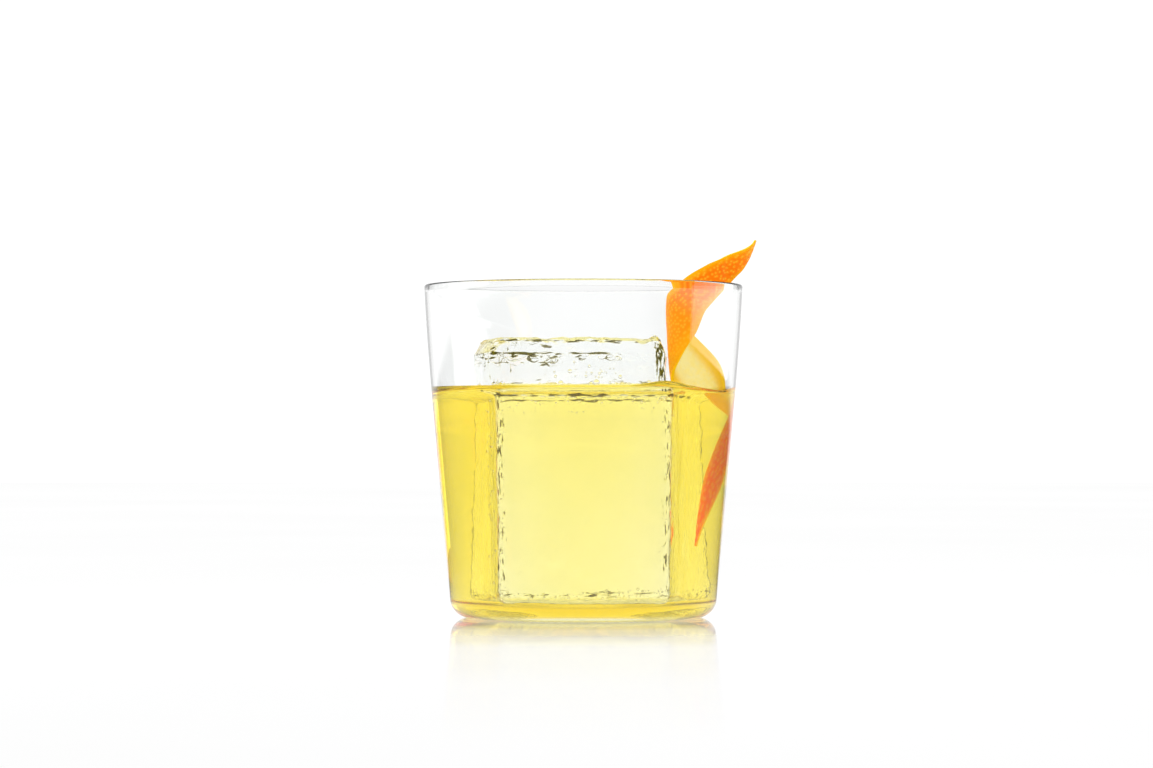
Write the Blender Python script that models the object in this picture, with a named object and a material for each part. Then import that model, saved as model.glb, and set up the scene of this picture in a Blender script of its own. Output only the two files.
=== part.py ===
"""A white negroni: a tapered tumbler of yellow drink, one clear block of ice and an orange twist.

Metres, +Z up. The origin is on the glass's axis at the table, +X is to the right and -Y towards the viewer.
"""

import math

import bmesh
import bpy
from mathutils import Vector, noise

MM = 0.001
GAP = 0.3 * MM  # left between pieces that touch
SEGMENTS = 80  # round the turned pieces and the block

# Glass
HEIGHT = 91.7 * MM
RIM_RADIUS = 44.0 * MM
TAPER = math.radians(5.2)  # of the wall's straight lower part
RIM_TAPER = math.radians(2.8)  # at the rim
BEND_Z = 62.0 * MM  # above this the wall turns gradually more upright
WALL = 1.25 * MM
FLOOR_Z = 2.2 * MM
FOOT_ROUND = 5.3 * MM
INNER_ROUND = 4.2 * MM

# Drink
LEVEL = 62.2 * MM
MENISCUS = 1.7 * MM  # climb at the wall
MENISCUS_REACH = 1.3 * MM  # distance over which the climb falls to a third
MENISCUS_STEPS = (0.0, 0.5, 1.1, 2.0, 3.6, 6.0)  # distances from the wall, mm

# Ice: plan faces as (direction in degrees, distance from the block's middle in mm)
ICE_MIDDLE_Y = -4.0 * MM
ICE_LOW = 4.9 * MM  # the drink shows below it
ICE_TOP = 76.6 * MM
ICE_BODY_FACES = ((-90.0, 22.0), (1.7, 21.5), (90.0, 22.0), (176.1, 20.5))
ICE_CAP_FACES = ((-90.0, 22.4), (0.0, 22.6), (90.0, 22.8), (170.0, 32.0), (-170.5, 29.2), (-129.5, 31.4))
ICE_CORNER = 26.0  # power of the faces' blend: higher is a sharper corner
ICE_LEDGE = (60.2 * MM, 62.8 * MM)  # the part below the surface has melted back to here
ICE_EDGE_LOW = 3.0 * MM
ICE_EDGE_TOP = 4.2 * MM
ICE_EDGE_STEPS = (1.0, 0.55, 0.2, 0.0)
ICE_INNER_RING = 0.55  # size of the ring of vertices in the end faces
ICE_RELIEF = 0.35 * MM
ICE_RELIEF_SIZE = 9.0 * MM

# Orange twist: a strip of peel wound on an upright cylinder beside the ice, its skin outwards. A turn of
# nothing faces +X, and the strip sinks as it turns towards the viewer, to the left and round the back.
TWIST_AXIS = Vector((31.8 * MM, -0.8 * MM))
TWIST_SHIFT = 1.3 * MM  # the cylinder's drift towards the middle, low in the glass
TWIST_SHIFT_Z = 46.0 * MM  # where the drift ends
TWIST_RADIUS = 7.1 * MM
TWIST_SWELL = 0.054  # growth of the radius with height above the drink
TWIST_TURNS = (math.radians(-14), math.radians(496))
TWIST_FLARE = 7.0 * MM  # added to the radius at the top end, which springs outwards
TWIST_FLARE_TURN = math.radians(42)  # where the flare begins
TWIST_FLARE_POWER = 1.3
TWIST_FRONT_Z = 88.7 * MM  # middle of the strip where it first faces the viewer
TWIST_DROP = 7.4 * MM  # per radian
TWIST_BOW = 1.3 * MM  # how far the strip bows up there
TWIST_BOW_TURN = math.radians(45)
TWIST_TIP_TURN = math.radians(25)
TWIST_TIP_LIFT = 1.9 * MM  # how far the tip curls up
TWIST_TAIL_TURN = math.radians(367)
TWIST_TAIL_DROP = 3.1 * MM  # added per radian squared along the tail
TWIST_THICKNESS = 1.7 * MM
TWIST_THINNING = 0.55  # share of the thickness lost at the strip's edges
TWIST_END_TURN = math.radians(24)  # the strip thins over this towards each end
TWIST_END_THICKNESS = 0.4  # share of the thickness left there
TWIST_WIDTHS = ((-14, 0.6), (25, 5.9), (60, 8.7), (102, 10.2), (140, 15.4), (184, 17.4))  # degrees, mm
TWIST_WIDTHS += ((270, 16.0), (360, 11.5), (437, 7.6), (496, 1.0))
TWIST_WALL_GAP = 0.9 * MM
TWIST_OVER_RIM = 3.0  # how fast the strip may reach outwards above the rim
TWIST_STEPS = 72
TWIST_ACROSS = 5


def clear_scene():
    for item in list(bpy.data.objects):
        bpy.data.objects.remove(item, do_unlink=True)


def make_material(name, colour, roughness, transmission=0.0, ior=1.45):
    material = bpy.data.materials.new(name)
    material.use_nodes = True
    shader = material.node_tree.nodes["Principled BSDF"]
    shader.inputs["Base Color"].default_value = (*colour, 1.0)
    shader.inputs["Roughness"].default_value = roughness
    shader.inputs["Metallic"].default_value = 0.0
    shader.inputs["Transmission Weight"].default_value = transmission
    shader.inputs["IOR"].default_value = ior
    return material


def make_object(name, bm, material=None):
    bmesh.ops.recalc_face_normals(bm, faces=bm.faces)
    mesh = bpy.data.meshes.new(name)
    bm.to_mesh(mesh)
    bm.free()
    mesh.shade_smooth()
    mesh.set_sharp_from_angle(angle=math.radians(40))
    item = bpy.data.objects.new(name, mesh)
    bpy.context.scene.collection.objects.link(item)
    if material:
        mesh.materials.append(material)
    return item


def make_cutter(name, bm):
    cutter = make_object(name, bm)
    cutter.hide_render = True
    cutter.display_type = "WIRE"
    return cutter


def smooth_step(value):
    value = min(max(value, 0.0), 1.0)
    return value * value * (3.0 - 2.0 * value)


# Turned shapes


def outer_radius(z):
    """Outside of the glass wall at a height."""
    low, high = math.tan(TAPER), math.tan(RIM_TAPER)
    span = HEIGHT - BEND_Z
    at_bend = RIM_RADIUS - span * (low + high) / 2
    above = max(z - BEND_Z, 0.0)
    return at_bend + low * (z - BEND_Z) + (high - low) * above * above / (2 * span)


def inner_radius(z):
    return outer_radius(z) - WALL


def fillet(corner, along_a, along_b, radius, steps):
    """Points of the arc that rounds a corner, from its side along_a to its side along_b."""
    a, b = Vector(along_a).normalized(), Vector(along_b).normalized()
    half = a.angle(b) / 2
    centre = Vector(corner) + (a + b).normalized() * (radius / math.sin(half))
    start = Vector(corner) + a * (radius / math.tan(half)) - centre
    end = Vector(corner) + b * (radius / math.tan(half)) - centre
    whole = start.angle(end)
    points = []
    for step in range(steps + 1):
        part = step / steps
        weight_a = math.sin((1 - part) * whole) / math.sin(whole)
        weight_b = math.sin(part * whole) / math.sin(whole)
        points.append(centre + start * weight_a + end * weight_b)
    return points


def wall_points(radius_at, low, high, steps):
    heights = [low + (high - low) * step / steps for step in range(steps + 1)]
    return [Vector((radius_at(z), z)) for z in heights]


def turned(profile):
    """A closed body turned about Z from a profile that starts and ends on the axis."""
    bm = bmesh.new()
    verts = [bm.verts.new((point[0], 0.0, point[1])) for point in profile]
    edges = [bm.edges.new(pair) for pair in zip(verts, verts[1:])]
    turn = {"cent": (0, 0, 0), "axis": (0, 0, 1), "angle": 2 * math.pi, "steps": SEGMENTS}
    bmesh.ops.spin(bm, geom=verts + edges, use_merge=True, **turn)
    bmesh.ops.remove_doubles(bm, verts=bm.verts, dist=1e-7)
    return bm


def glass():
    up = (math.tan(TAPER), 1.0)
    rim = WALL / 2
    profile = [Vector((0.0, 0.0))]
    profile += reversed(fillet((outer_radius(0.0), 0.0), up, (-1, 0), FOOT_ROUND, 6))
    profile += wall_points(outer_radius, 14 * MM, HEIGHT - rim, 6)
    middle = Vector((outer_radius(HEIGHT - rim) - rim, HEIGHT - rim))
    for step in range(1, 4):
        angle = math.pi * step / 4
        profile.append(middle + Vector((math.cos(angle), math.sin(angle))) * rim)
    profile += reversed(wall_points(inner_radius, 12 * MM, HEIGHT - rim, 5))
    profile += fillet((inner_radius(FLOOR_Z), FLOOR_Z), up, (-1, 0), INNER_ROUND, 4)
    profile.append(Vector((0.0, FLOOR_Z)))
    material = make_material("clear_glass", (0.94, 0.95, 0.94), 0.02, 1.0, 1.5)
    return make_object("glass", turned(profile), material)


def drink(cutters):
    low = FLOOR_Z + GAP
    up = (math.tan(TAPER), 1.0)

    def side(z):
        return inner_radius(z) - GAP

    profile = [Vector((0.0, low))]
    profile += reversed(fillet((side(low), low), up, (-1, 0), INNER_ROUND, 4))
    profile += wall_points(side, 16 * MM, LEVEL + MENISCUS, 3)
    for distance in MENISCUS_STEPS[1:]:
        climb = MENISCUS * math.exp(-distance * MM / MENISCUS_REACH)
        profile.append(Vector((side(LEVEL) - distance * MM, LEVEL + climb)))
    profile.append(Vector((0.0, LEVEL)))
    material = make_material("yellow_drink", (0.95, 0.72, 0.08), 0.02, 1.0, 1.35)
    item = make_object("drink", turned(profile), material)
    for cutter in cutters:
        cut = item.modifiers.new(cutter.name, "BOOLEAN")
        cut.operation = "DIFFERENCE"
        cut.solver = "EXACT"
        cut.object = cutter
    return item


# Ice


def rounded_radius(angle, faces):
    """Distance from the middle to a block of flat faces, its corners rounded by blending them."""
    total = 0.0
    for direction, distance in faces:
        reach = math.cos(angle - math.radians(direction)) / (distance * MM)
        if reach > 0:
            total += reach**ICE_CORNER
    return total ** (-1 / ICE_CORNER)


def block_radius(angle, z):
    low, high = ICE_LEDGE
    body = rounded_radius(angle, ICE_BODY_FACES)
    cap = rounded_radius(angle, ICE_CAP_FACES)
    return body + (cap - body) * smooth_step((z - low) / (high - low))


def edge_rings(edge):
    """The rings that round an edge, as (share of the edge's radius from the face, inset)."""
    rises = [share * edge for share in ICE_EDGE_STEPS]
    return [(rise, edge - math.sqrt(edge * edge - (rise - edge) ** 2)) for rise in rises]


def ice_block(offset):
    """The block, or its cutter where offset is more than nothing."""
    rings = [(ICE_LOW + rise, inset) for rise, inset in reversed(edge_rings(ICE_EDGE_LOW))]
    rings += [(z * MM, 0.0) for z in (20.0, 34.0, 47.0)]
    low, high = ICE_LEDGE
    rings += [(low + (high - low) * share, 0.0) for share in (0.0, 0.33, 0.67, 1.0)]
    rings += [(66.0 * MM, 0.0)]
    rings += [(ICE_TOP - rise, inset) for rise, inset in edge_rings(ICE_EDGE_TOP)]

    bm = bmesh.new()

    def add_ring(z, inset, scale, lift):
        verts = []
        for step in range(SEGMENTS):
            angle = 2 * math.pi * step / SEGMENTS
            flat = Vector((math.cos(angle), math.sin(angle), 0.0))
            radius = (block_radius(angle, z) - inset) * scale
            bare = flat * radius + Vector((0.0, ICE_MIDDLE_Y, z))
            relief = noise.noise_vector(bare / ICE_RELIEF_SIZE) * ICE_RELIEF
            verts.append(bm.verts.new(bare + relief + flat * offset * scale + Vector((0.0, 0.0, lift))))
        return verts

    last = len(rings) - 1
    middles = []
    loops = []
    for index, (z, inset) in enumerate(rings):
        lift = -offset if index == 0 else offset if index == last else 0.0
        loops.append(add_ring(z, inset, 1.0, lift))
    for end in (0, last):
        z, inset = rings[end]
        lift = -offset if end == 0 else offset
        inner = add_ring(z, inset, ICE_INNER_RING, lift)
        middles.append(bm.verts.new((0.0, ICE_MIDDLE_Y, z + lift)))
        loops = [inner] + loops if end == 0 else loops + [inner]
    for loop, following in zip(loops, loops[1:]):
        for step in range(SEGMENTS):
            after = (step + 1) % SEGMENTS
            bm.faces.new((loop[step], loop[after], following[after], following[step]))
    for middle, loop in zip(middles, (loops[0], loops[-1])):
        for step in range(SEGMENTS):
            bm.faces.new((middle, loop[step], loop[(step + 1) % SEGMENTS]))
    return bm


# Orange twist


def twist_height(turn):
    """Height of the strip's middle line."""
    tip = max(TWIST_TIP_TURN - turn, 0.0) / (TWIST_TIP_TURN - TWIST_TURNS[0])
    tail = max(turn - TWIST_TAIL_TURN, 0.0)
    fall = TWIST_DROP * (turn - math.pi / 2) + TWIST_TAIL_DROP * tail * tail
    bow = math.exp(-(((turn - math.pi / 2) / TWIST_BOW_TURN) ** 2))
    return TWIST_FRONT_Z - fall + TWIST_BOW * bow + TWIST_TIP_LIFT * tip * tip


def twist_width(turn):
    """Width of the strip, read smoothly between the named places."""
    degrees = math.degrees(turn)
    for (low, width), (high, following) in zip(TWIST_WIDTHS, TWIST_WIDTHS[1:]):
        if degrees <= high:
            break
    share = min((degrees - low) / (high - low), 1.0)
    return (width + (following - width) * (share + smooth_step(share)) / 2) * MM


def twist_radius(turn, z):
    flare = max(TWIST_FLARE_TURN - turn, 0.0) / (TWIST_FLARE_TURN - TWIST_TURNS[0])
    return TWIST_RADIUS + TWIST_SWELL * max(z - LEVEL, 0.0) + TWIST_FLARE * flare**TWIST_FLARE_POWER


def twist_point(turn, across, lift):
    """A point on the strip: across it from its middle line, and lift outwards from its middle surface."""
    middle_z = twist_height(turn)
    middle_radius = twist_radius(turn, middle_z)
    step = 0.01
    slope = math.atan2(middle_z - twist_height(turn + step), middle_radius * step)
    z = middle_z + across * math.cos(slope)
    around = turn + across * math.sin(slope) / middle_radius
    outwards = Vector((math.cos(around), -math.sin(around)))
    drift = TWIST_SHIFT * smooth_step((LEVEL - z) / (LEVEL - TWIST_SHIFT_Z))
    flat = TWIST_AXIS - Vector((drift, 0.0)) + outwards * twist_radius(around, z)
    limit = inner_radius(min(z, HEIGHT)) - TWIST_WALL_GAP - TWIST_THICKNESS / 2
    limit += TWIST_OVER_RIM * max(z - HEIGHT - GAP, 0.0)
    if flat.length > limit:
        flat *= limit / flat.length
    flat += outwards * lift
    return Vector((flat.x, flat.y, z))


def orange_twist(offset):
    """The strip of peel, or its cutter where offset is more than nothing."""
    start, stop = TWIST_TURNS
    bm = bmesh.new()
    rows = []
    for step in range(TWIST_STEPS + 1):
        turn = start + (stop - start) * step / TWIST_STEPS
        if step in (0, TWIST_STEPS):
            turn += math.copysign(offset, step - 1) / TWIST_RADIUS
        half = twist_width(turn) / 2 + offset
        from_end = min(turn - start, stop - turn) / TWIST_END_TURN
        body = TWIST_THICKNESS / 2 * (TWIST_END_THICKNESS + (1 - TWIST_END_THICKNESS) * smooth_step(from_end))
        outer, inner = [], []
        for place in range(TWIST_ACROSS):
            share = 2 * place / (TWIST_ACROSS - 1) - 1
            thick = body * (1 - TWIST_THINNING * share**4) + offset
            outer.append(bm.verts.new(twist_point(turn, half * share, thick)))
            inner.append(bm.verts.new(twist_point(turn, half * share, -thick)))
        rows.append(outer + inner[::-1])
    for row, following in zip(rows, rows[1:]):
        for place, vert in enumerate(row):
            after = (place + 1) % len(row)
            bm.faces.new((vert, row[after], following[after], following[place]))
    bm.faces.new(rows[0])
    bm.faces.new(rows[-1])
    bmesh.ops.triangulate(bm, faces=bm.faces)
    return bm


def main():
    clear_scene()
    glass()
    ice_material = make_material("clear_ice", (0.97, 0.98, 0.98), 0.03, 1.0, 1.31)
    make_object("ice_block", ice_block(0.0), ice_material)
    peel_material = make_material("orange_peel", (0.93, 0.38, 0.02), 0.42)
    make_object("orange_twist", orange_twist(0.0), peel_material)
    drink([make_cutter("ice_cutter", ice_block(GAP)), make_cutter("twist_cutter", orange_twist(GAP))])


main()
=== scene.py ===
"""Looks of a white negroni: a tapered tumbler of yellow drink, one clear block of ice and an orange twist.

Metres, +Z up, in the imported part's frame: the origin is on the glass's axis at the table, +X is to the right
and -Y towards the viewer. The four pieces repeat the solids' forms with finer meshes. The drink reaches just
into the glass, and the ice and the peel reach just into the drink, so that no film of air shows between them.
"""

import math
import random

import bmesh
import bpy
import numpy as np
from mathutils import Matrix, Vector, noise

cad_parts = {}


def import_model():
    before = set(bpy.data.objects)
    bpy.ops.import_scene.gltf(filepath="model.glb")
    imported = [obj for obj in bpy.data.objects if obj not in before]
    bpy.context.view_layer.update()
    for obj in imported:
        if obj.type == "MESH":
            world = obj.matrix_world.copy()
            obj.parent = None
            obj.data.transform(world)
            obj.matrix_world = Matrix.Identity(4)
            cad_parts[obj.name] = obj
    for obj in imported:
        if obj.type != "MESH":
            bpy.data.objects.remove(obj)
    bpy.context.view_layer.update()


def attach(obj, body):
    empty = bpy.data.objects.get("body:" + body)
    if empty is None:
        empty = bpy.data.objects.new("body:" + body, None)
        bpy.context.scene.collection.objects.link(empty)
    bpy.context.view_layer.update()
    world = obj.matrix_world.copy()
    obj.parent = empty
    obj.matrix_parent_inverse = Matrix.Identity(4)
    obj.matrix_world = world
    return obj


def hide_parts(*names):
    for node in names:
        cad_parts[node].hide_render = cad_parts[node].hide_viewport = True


MM = 0.001
NOISE_SEED = 1  # without it the vectors of noise follow the clock

# Glass
HEIGHT = 91.7 * MM
RIM_RADIUS = 44.0 * MM
TAPER = math.radians(5.2)  # of the wall's straight lower part
RIM_TAPER = math.radians(2.8)  # at the rim
BEND_Z = 62.0 * MM  # above this the wall turns gradually more upright
WALL = 1.25 * MM
FLOOR_Z = 2.2 * MM
FOOT_ROUND = 5.3 * MM
INNER_ROUND = 4.2 * MM
PUNT_RADIUS = 26.5 * MM  # shallow hollow under the foot
PUNT_DEPTH = 1.2 * MM
PUNT_POWER = 1.6
GLASS_SEGMENTS = 384
# Painted reflection: the drink's yellow painted on the glass's outer foot, where a clear foot shows the drink by
# refraction; its share by radius in m and by height
FOOT_PAINTED_REFLECTION = (0.95, 0.87, 0.22, 1.0)
FOOT_REFLECTION_BY_RADIUS = ((0.0, 0.0), (30 * MM, 0.0), (33 * MM, 1.0), (50 * MM, 1.0))
FOOT_REFLECTION_BY_HEIGHT = ((0.0, 1.0), (1.2 * MM, 0.9), (3.0 * MM, 0.6), (6.0 * MM, 0.0), (8.0 * MM, 0.0))  # its share by height

# Drink
LEVEL = 62.2 * MM
MENISCUS = 1.4 * MM  # climb at the wall
MENISCUS_REACH = 1.3 * MM
ICE_MENISCUS = 2.1 * MM  # climb at the ice
ICE_MENISCUS_REACH = 1.4 * MM
TWIST_MENISCUS = 1.2 * MM
WAVES = ((-58.0, 1.2 * MM, 9.0), (-28.0, -1.1 * MM, 15.0))  # along the wall, as (direction, height, width in degrees)
WAVE_REACH = 4.0 * MM
INTO_GLASS = 0.15 * MM  # how far the drink reaches into the glass
INTO_DRINK = 0.08 * MM  # how far the ice and the peel reach into the drink
DRINK_SEGMENTS = 400
DRINK_INNER = 15.0 * MM  # inside this radius the surface lies within the ice
DRINK_STEP = 0.28 * MM

# Ice: plan faces as (direction in degrees, distance from the block's middle in mm)
ICE_MIDDLE_Y = -4.0 * MM
ICE_LOW = 4.9 * MM  # the drink shows below it
ICE_TOP = 76.6 * MM
ICE_BODY_FACES = ((-90.0, 22.0), (1.7, 21.5), (90.0, 22.0), (176.1, 20.5))
ICE_CAP_FACES = ((-90.0, 22.4), (-2.2, 22.6), (90.0, 22.8), (170.0, 32.0), (-170.5, 29.2), (-129.5, 31.4))
ICE_CORNER = 26.0
ICE_LEDGE = (60.2 * MM, 62.8 * MM)
ICE_EDGE_LOW = 3.0 * MM
ICE_EDGE_TOP = 4.2 * MM
ICE_RELIEF = 0.35 * MM
ICE_RELIEF_SIZE = 9.0 * MM
ICE_CHAMFER = ((0.0, 0.0), (3.2, 1.9), (3.8, 2.8), (4.2, 4.2))  # (rise, inset) in mm
ICE_BROW = (71.4 * MM, 1.2 * MM)  # rough bands under and over the chamfer, as (height, half width)
ICE_RIDGE = (75.9 * MM, 0.9 * MM)
ICE_SPECKLE = Vector((-25.0 * MM, -24.0 * MM, 74.3 * MM))  # a crushed spot at the corner
ICE_KNOB = Vector((20.6 * MM, 12.0 * MM))  # a small bump on the top
ICE_SEGMENTS = 440
ICE_STEP = 0.5 * MM
ICE_FINE_STEP = 0.3 * MM  # above the drink

# Orange twist
TWIST_AXIS = Vector((31.8 * MM, -0.8 * MM))
TWIST_SHIFT = 1.3 * MM
TWIST_SHIFT_Z = 46.0 * MM
TWIST_RADIUS = 7.1 * MM
TWIST_SWELL = 0.054
TWIST_TURNS = (math.radians(-14), math.radians(496))
TWIST_FLARE = 7.0 * MM
TWIST_FLARE_TURN = math.radians(42)
TWIST_FLARE_POWER = 1.3
TWIST_FRONT_Z = 88.7 * MM
TWIST_DROP = 7.4 * MM
TWIST_BOW = 1.3 * MM
TWIST_BOW_TURN = math.radians(45)
TWIST_TIP_TURN = math.radians(25)
TWIST_TIP_LIFT = 1.9 * MM
TWIST_TAIL_TURN = math.radians(367)
TWIST_TAIL_DROP = 3.1 * MM
TWIST_THICKNESS = 1.7 * MM
TWIST_THINNING = 0.55
TWIST_END_TURN = math.radians(24)
TWIST_END_THICKNESS = 0.4
TWIST_WIDTHS = ((-14, 0.6), (25, 5.9), (60, 8.7), (102, 10.2), (140, 15.4), (184, 17.4))  # degrees, mm
TWIST_WIDTHS += ((270, 16.0), (360, 11.5), (437, 7.6), (496, 1.0))
TWIST_WALL_GAP = 0.9 * MM
TWIST_OVER_RIM = 3.0
TWIST_STEPS = 520
TWIST_OUTER = 84  # vertices across the skin
TWIST_INNER = 22  # vertices across the pith
# Painted light: shares of a yellower skin by height in m, for light from the left shining through the peel, and at
# the tip
SKIN_PAINTED_LIGHT = ((0.02, 0.0), (0.055, 0.0), (0.066, 0.6), (0.082, 0.4), (0.092, 0.0), (0.097, 0.05), (0.104, 0.8))
PORE_SPACING = 1.15 * MM
PORE_RADIUS = 0.42 * MM
PORE_DEPTH = 0.10 * MM

# Room: radiance of its walls, and shares of it by a direction's height or depth and by distance in m on the floor
ROOM_BACKDROP = 1.1
ROOM_SEEN = 0.98  # through the glass
ROOM_GAIN = ((0.0, 0.5), (2.0, 0.5), (4.0, 0.56), (6.0, 0.61), (10.0, 0.7), (16.0, 0.76))  # half the gain by surfaces passed
ROOM_BY_HEIGHT = ((-1.0, 1.0), (0.1, 1.0), (0.22, 0.8), (0.4, 0.6), (0.5, 0.2), (0.8, 0.2), (0.92, 1.0), (1.0, 1.0))
ROOM_MIRRORED_INSIDE = ((-1.0, 0.3), (-0.5, 0.3), (0.5, 1.0), (1.0, 1.0))
ROOM_MIRRORED_OUTSIDE = ((-1.0, 0.6), (-0.7, 0.4), (-0.3, 0.05), (0.3, 0.8), (1.0, 1.0))
ROOM_AT_EDGE = ((-1.0, 0.35), (-0.2, 0.4), (0.3, 1.0), (0.93, 1.0), (0.975, 0.3), (1.0, 0.3))
FLOOR_MIRRORED_INSIDE = ((-1.0, 0.15), (-0.4, 0.15), (-0.12, 1.0), (1.0, 1.0))
FLOOR_MIRRORED_OUTSIDE = ((0.0, 1.0), (0.045, 1.0), (0.075, 0.05), (1.2, 0.05), (2.2, 1.0), (3.0, 1.0))
FLOOR_FAR = ((0.0, 0.0), (0.06, 0.0), (0.15, 1.0), (1.0, 1.0))  # the former only so far from the glass
FLOOR_FRONT = ((-1.0, 0.7), (-0.8, 0.6), (-0.5, 0.0), (0.88, 0.0), (0.95, 1.0), (1.0, 1.0))  # as bright again, by direction
ROOM_LIGHT = 1.28  # radiance of the soft light on matt surfaces
ROOM_LIGHT_BY_SIDE = ((-1.0, 1.4), (-0.2, 1.1), (0.3, 0.85), (1.0, 0.58))
FLOOR_ALBEDO = 0.25
FLOOR_LOOK = 1.0  # radiance of the floor as it is looked at
FLOOR_POLISH = ((0.0, 1.0), (0.05, 1.0), (0.078, 0.7), (0.117, 0.44), (0.16, 0.18))
FLOOR_POLISH += ((0.2, 0.15), (0.3, 0.05), (0.45, 0.0))  # (distance in m, share mirrored at a slant)
FLOOR_SLANT = 4.0

# View
CAMERA_PLACE = (-0.0019, -1.04, 0.050)
CAMERA_TILT = math.radians(90.79)
PICTURE_WIDTH = 1153
CAMERA_FOCAL_PX = 3765
SENSOR_MM = 36


def smooth_step(value):
    value = np.clip(value, 0.0, 1.0)
    return value * value * (3.0 - 2.0 * value)


# Meshes


def make_piece(name, rows, node, material, sharp=40):
    """A closed mesh through rings of points. A ring of one point closes an end."""
    points = []
    starts = []
    for row in rows:
        starts.append(len(points))
        points.extend(tuple(p) for p in row)
    faces = []
    for index in range(len(rows) - 1):
        low, high = rows[index], rows[index + 1]
        a, b = starts[index], starts[index + 1]
        count = max(len(low), len(high))
        for step in range(count):
            after = (step + 1) % count
            if len(low) == 1:
                faces.append((a, b + after, b + step))
            elif len(high) == 1:
                faces.append((a + step, a + after, b))
            else:
                faces.append((a + step, a + after, b + after, b + step))
    return mesh_object(name, points, faces, node, material, sharp)


def mesh_object(name, points, faces, node, material, sharp=40):
    mesh = bpy.data.meshes.new(name)
    mesh.from_pydata(points, [], faces)
    mesh.validate()
    mesh.shade_smooth()
    mesh.set_sharp_from_angle(angle=math.radians(sharp))
    item = bpy.data.objects.new(name, mesh)
    bpy.context.scene.collection.objects.link(item)
    if material:
        mesh.materials.append(material)
    if node:
        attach(item, "root")
        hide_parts(node)
    return item


# Turned shapes


def outer_radius(z):
    low, high = math.tan(TAPER), math.tan(RIM_TAPER)
    span = HEIGHT - BEND_Z
    at_bend = RIM_RADIUS - span * (low + high) / 2
    above = np.maximum(z - BEND_Z, 0.0)
    return at_bend + low * (z - BEND_Z) + (high - low) * above * above / (2 * span)


def inner_radius(z):
    return outer_radius(z) - WALL


def fillet(corner, along_a, along_b, radius, steps):
    a, b = Vector(along_a).normalized(), Vector(along_b).normalized()
    half = a.angle(b) / 2
    centre = Vector(corner) + (a + b).normalized() * (radius / math.sin(half))
    start = Vector(corner) + a * (radius / math.tan(half)) - centre
    end = Vector(corner) + b * (radius / math.tan(half)) - centre
    whole = start.angle(end)
    points = []
    for step in range(steps + 1):
        part = step / steps
        weight_a = math.sin((1 - part) * whole) / math.sin(whole)
        weight_b = math.sin(part * whole) / math.sin(whole)
        points.append(centre + start * weight_a + end * weight_b)
    return points


def wall_points(radius_at, low, high, steps):
    return [Vector((float(radius_at(z)), float(z))) for z in np.linspace(low, high, steps + 1)]


def ring(radius, z, segments):
    if radius < 1e-9:
        return [(0.0, 0.0, z)]
    angles = np.arange(segments) * (2 * math.pi / segments)
    return [(radius * math.cos(a), radius * math.sin(a), z) for a in angles]


def glass(material):
    up = (math.tan(TAPER), 1.0)
    rim = WALL / 2
    profile = [Vector((0.0, PUNT_DEPTH))]
    for share in np.linspace(0.05, 1.0, 20):
        profile.append(Vector((PUNT_RADIUS * share, PUNT_DEPTH * (1 - share**PUNT_POWER))))
    profile += reversed(fillet((float(outer_radius(0.0)), 0.0), up, (-1, 0), FOOT_ROUND, 24))
    profile += wall_points(outer_radius, 8 * MM, HEIGHT - rim, 48)
    middle = Vector((float(outer_radius(HEIGHT - rim)) - rim, HEIGHT - rim))
    for step in range(1, 12):
        angle = math.pi * step / 12
        profile.append(middle + Vector((math.cos(angle), math.sin(angle))) * rim)
    profile += reversed(wall_points(inner_radius, 10 * MM, HEIGHT - rim, 48))
    profile += fillet((float(inner_radius(FLOOR_Z)), FLOOR_Z), up, (-1, 0), INNER_ROUND, 16)
    for share in np.linspace(0.9, 0.0, 10):
        profile.append(Vector((share * float(inner_radius(FLOOR_Z) - INNER_ROUND), FLOOR_Z)))
    rows = [ring(point.x, point.y, GLASS_SEGMENTS) for point in profile]
    return make_piece("glass_tumbler", rows, "glass", material)


# Ice


def rounded_radius(angle, faces):
    total = 0.0
    for direction, distance in faces:
        reach = np.maximum(np.cos(angle - math.radians(direction)) / (distance * MM), 0.0)
        total = total + reach**ICE_CORNER
    return total ** (-1 / ICE_CORNER)


def corner_share(angle, faces):
    """1 on an upright edge of the block and 0 on its flat faces."""
    reaches = [np.maximum(np.cos(angle - math.radians(d)) / (r * MM), 0.0) for d, r in faces]
    reaches = np.sort(np.array(reaches), axis=0)
    return smooth_step((reaches[-2] / reaches[-1] - 0.82) / 0.13)


def block_radius(angle, z):
    low, high = ICE_LEDGE
    body = rounded_radius(angle, ICE_BODY_FACES)
    cap = rounded_radius(angle, ICE_CAP_FACES)
    return body + (cap - body) * smooth_step((z - low) / (high - low))


def ice_angles():
    """Directions that space the vertices evenly along the block's outline."""
    fine = np.linspace(-math.pi, math.pi, 7201)
    radius = (rounded_radius(fine, ICE_BODY_FACES) + rounded_radius(fine, ICE_CAP_FACES)) / 2
    x, y = radius * np.cos(fine), radius * np.sin(fine)
    length = np.concatenate([[0.0], np.cumsum(np.hypot(np.diff(x), np.diff(y)))])
    return np.interp(np.arange(ICE_SEGMENTS) / ICE_SEGMENTS * length[-1], length, fine)


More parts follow.
